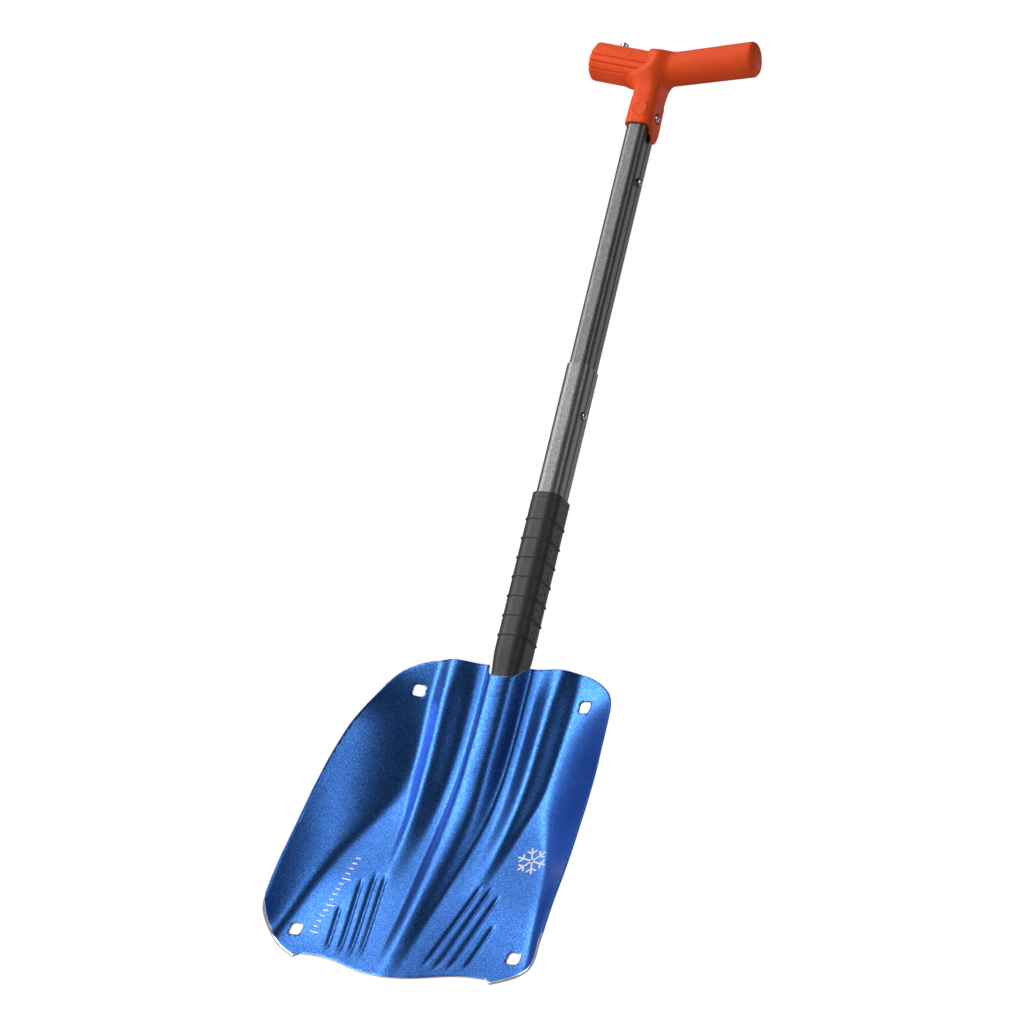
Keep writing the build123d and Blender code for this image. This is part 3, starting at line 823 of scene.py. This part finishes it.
def make_ribbed_arm():
    """Faceted left arm with a lipped groove along each edge between its facets."""
    turns = np.arange(0, 360, 1.0)
    edges = np.array(RIB_EDGES + (360.0,))
    i = np.searchsorted(edges, turns, "right") - 1
    middle = (edges[i] + edges[i + 1]) / 2
    half = (edges[i + 1] - edges[i]) / 2
    facet = np.cos(np.radians(half)) / np.cos(np.radians(turns - middle))
    off = np.minimum(turns - edges[i], edges[i + 1] - turns) * pi / 180 * RIBBED_RADIUS
    outer = 17.2 * (0.5 * facet + 0.5)
    outer = outer + 0.4 * np.exp(-(((off - 1.4) / 0.6) ** 2))
    outer = np.minimum(outer, RIBBED_RADIUS) - 1.2 * np.exp(-((off / 0.6) ** 2))
    pad = soft_step(turns, 56, 59) * (1 - soft_step(turns, 82, 85))
    bore = np.full(len(turns), RIBBED_BORE)
    way = np.radians(turns)
    low = shell_reach(-SHELL_RADIUS * np.sin(way), SHELL_RADIUS * np.cos(way)) - RIBBED_HIDDEN
    rows = [(low, bore), (low, outer - 0.4)]
    for part in np.linspace(0, 1, 60):
        t = low + 0.4 + (LEFT_LENGTH - 3 - low) * part
        along_pad = soft_step(t, 19, 20.5) * (1 - soft_step(t, 43, 44.5))
        rows.append((t, outer + PAD_PROUD * pad * along_pad))
    for angle in (20, 40, 60, 80, 90):
        a = radians(angle)
        t = LEFT_LENGTH - RIBBED_ROUND + RIBBED_ROUND * sin(a)
        rows.append((t, outer - RIBBED_ROUND * (1 - cos(a))))
    rows.append((LEFT_LENGTH, bore + 0.8))
    rows.append((LEFT_LENGTH - 0.8, bore))
    points = []
    for t, radius in rows:
        # turns run from the top of the arm over the front
        w = radius * np.cos(way)
        y = -radius * np.sin(way)
        x = -t * cos(ARM_RISE) + w * sin(ARM_RISE)
        up = t * sin(ARM_RISE) + w * cos(ARM_RISE)
        points.append(placed(x, y, up + HUB_UP))
    faces = grid_faces(len(rows), len(turns), wrap_rows=True)
    piece(
        "ribbed_grip", np.vstack(points), faces, [ORANGE], "handle",
        ["ribbed_arm"], 40,
    )


make_ribbed_arm()


# ------------------------------------------------------------------- prints
PRINT_PROUD = 0.10
PRINT_SUNK = 0.06
PRINT_SECTION = ((-1, -PRINT_PROUD), (1, -PRINT_PROUD), (1, PRINT_SUNK), (-1, PRINT_SUNK))


def strip(name, runs, width):
    """Thin printed lines on the blade; runs are pairs of (x, down) ends."""
    points, faces = [], []
    for x0, d0, x1, d1 in runs:
        length = np.hypot(x1 - x0, d1 - d0)
        ax, ad = (x1 - x0) / length, (d1 - d0) / length
        count = max(2, int(length) + 1)
        first = len(points)
        for part in np.linspace(0, 1, count):
            for across, lift in PRINT_SECTION:
                x = x0 + (x1 - x0) * part - ad * across * width / 2
                down = d0 + (d1 - d0) * part + ax * across * width / 2
                points.append(tuple(placed(x, sheet_y(x, down) + lift, -down)))
        faces += [tuple(first + k for k in (3, 2, 1, 0))]
        last = first + 4 * (count - 1)
        faces += [tuple(last + k for k in (0, 1, 2, 3))]
        faces += grid_faces(count, 4, first)
    piece(name, points, faces, [PRINT], "blade_unit", (), 30)


# a plain depth scale up the left side, and a snow crystal on the right
SCALE_LOW = np.array([-80.5, 246.0])
SCALE_TOP = np.array([-73.5, 176.0])
TICK_PITCH = 5.0
LONG_TICK = 7.5
SHORT_TICK = 4.2
scale_way = (SCALE_TOP - SCALE_LOW) / np.hypot(*(SCALE_TOP - SCALE_LOW))
scale_side = np.array([-scale_way[1], scale_way[0]])
tick_runs = []
for tick in range(15):
    foot = SCALE_LOW + scale_way * tick * TICK_PITCH
    end = foot + scale_side * (LONG_TICK if tick % 5 == 0 else SHORT_TICK)
    tick_runs.append((*foot, *end))
strip("depth_scale", tick_runs, 1.3)

CRYSTAL = np.array([71.0, 159.0])
CRYSTAL_ARM = 12.5
crystal_runs = []
for arm in range(6):
    turn = radians(60 * arm + 10)
    way = np.array([cos(turn), sin(turn)])
    crystal_runs.append((*(CRYSTAL + way * 1.2), *(CRYSTAL + way * CRYSTAL_ARM)))
    for side in (-1, 1):
        branch = np.array([cos(turn + side), sin(turn + side)])
        knot = CRYSTAL + way * 0.58 * CRYSTAL_ARM
        crystal_runs.append((*(knot + branch * 0.9), *(knot + branch * 4.6)))
strip("snow_crystal", crystal_runs, 1.5)


# ---------------------------------------------------------- stage and camera
floor_mesh = bpy.data.meshes.new("floor")
floor_mesh.from_pydata([(-6, -6, 0), (6, -6, 0), (6, 6, 0), (-6, 6, 0)], [], [(0, 1, 2, 3)])
floor = bpy.data.objects.new("floor", floor_mesh)
bpy.context.scene.collection.objects.link(floor)
paper, paper_tree, paper_shader = material("pale_floor", Roughness=0.8)
paper_noise = noise(paper_tree, 3, 2.0)
paper_tones = (0.3, (0.80, 0.80, 0.80)), (0.7, (0.84, 0.84, 0.84))
paper_tree.links.new(
    ramp(paper_tree, paper_noise.outputs["Fac"], *paper_tones), paper_shader.inputs["Base Color"]
)
under = paper_tree.nodes.new("ShaderNodeBsdfTransparent")
which_side = paper_tree.nodes.new("ShaderNodeNewGeometry")
either = paper_tree.nodes.new("ShaderNodeMixShader")
paper_tree.links.new(which_side.outputs["Backfacing"], either.inputs[0])
paper_tree.links.new(paper_shader.outputs["BSDF"], either.inputs[1])
paper_tree.links.new(under.outputs["BSDF"], either.inputs[2])
paper_out = paper_tree.nodes["Material Output"]
paper_tree.links.new(either.outputs["Shader"], paper_out.inputs["Surface"])
floor_mesh.materials.append(paper)

AZIMUTH = radians(27)
ELEVATION = radians(-18.5)
ROLL = radians(13.8)
TARGET = Vector((-0.032, 0.0362, 0.4146))
DISTANCE = 3.022
back = Vector((
    sin(AZIMUTH) * cos(ELEVATION), -cos(AZIMUTH) * cos(ELEVATION), sin(ELEVATION)
))
level = Vector((cos(AZIMUTH), sin(AZIMUTH), 0))
upright = back.cross(level)
right = level * cos(ROLL) + upright * sin(ROLL)
over = -level * sin(ROLL) + upright * cos(ROLL)
camera_data = bpy.data.cameras.new("camera")
camera_data.lens = 130.9
camera_data.sensor_width = 36
camera_data.clip_end = 50
camera = bpy.data.objects.new("camera", camera_data)
bpy.context.scene.collection.objects.link(camera)
turn = Matrix((right, over, back)).transposed().to_4x4()
camera.matrix_world = Matrix.Translation(TARGET + back * DISTANCE) @ turn
bpy.context.scene.camera = camera


LIGHTS_AIM = Vector((0, 0, 0.42))


def softbox(name, way, distance, wide, high, power):
    """Rectangular area light in a direction from the object, facing it."""
    data = bpy.data.lights.new(name, "AREA")
    data.shape = "RECTANGLE"
    data.size = wide
    data.size_y = high
    data.energy = power
    light = bpy.data.objects.new(name, data)
    way = Vector(way).normalized()
    light.location = LIGHTS_AIM + way * distance
    light.rotation_euler = way.to_track_quat("Z", "Y").to_euler()
    bpy.context.scene.collection.objects.link(light)


softbox("key", (-0.72, -0.62, 0.34), 2.6, 1.4, 2.4, 56)
softbox("front_fill", (-0.35, -0.875, 0.30), 3.0, 1.0, 2.0, 8)
softbox("top", (-0.43, -0.21, 0.88), 2.6, 1.5, 1.5, 9)
softbox("right_strip", (0.86, -0.42, 0.32), 3.0, 0.5, 1.8, 12)
softbox("back", (0.43, 0.85, 0.32), 2.6, 1.3, 1.8, 6)

world = bpy.data.worlds.new("studio")
bpy.context.scene.world = world
world.use_nodes = True
world_tree = world.node_tree
sky = world_tree.nodes["Background"]
sky.inputs["Color"].default_value = (0.10, 0.10, 0.105, 1)
white = world_tree.nodes.new("ShaderNodeBackground")
white.inputs["Color"].default_value = (1, 1, 1, 1)
seen = world_tree.nodes.new("ShaderNodeLightPath")
choice = world_tree.nodes.new("ShaderNodeMixShader")
world_tree.links.new(seen.outputs["Is Camera Ray"], choice.inputs[0])
world_tree.links.new(sky.outputs["Background"], choice.inputs[1])
world_tree.links.new(white.outputs["Background"], choice.inputs[2])
world_tree.links.new(choice.outputs["Shader"], world_tree.nodes["World Output"].inputs["Surface"])
bpy.context.scene.view_settings.view_transform = "Standard"
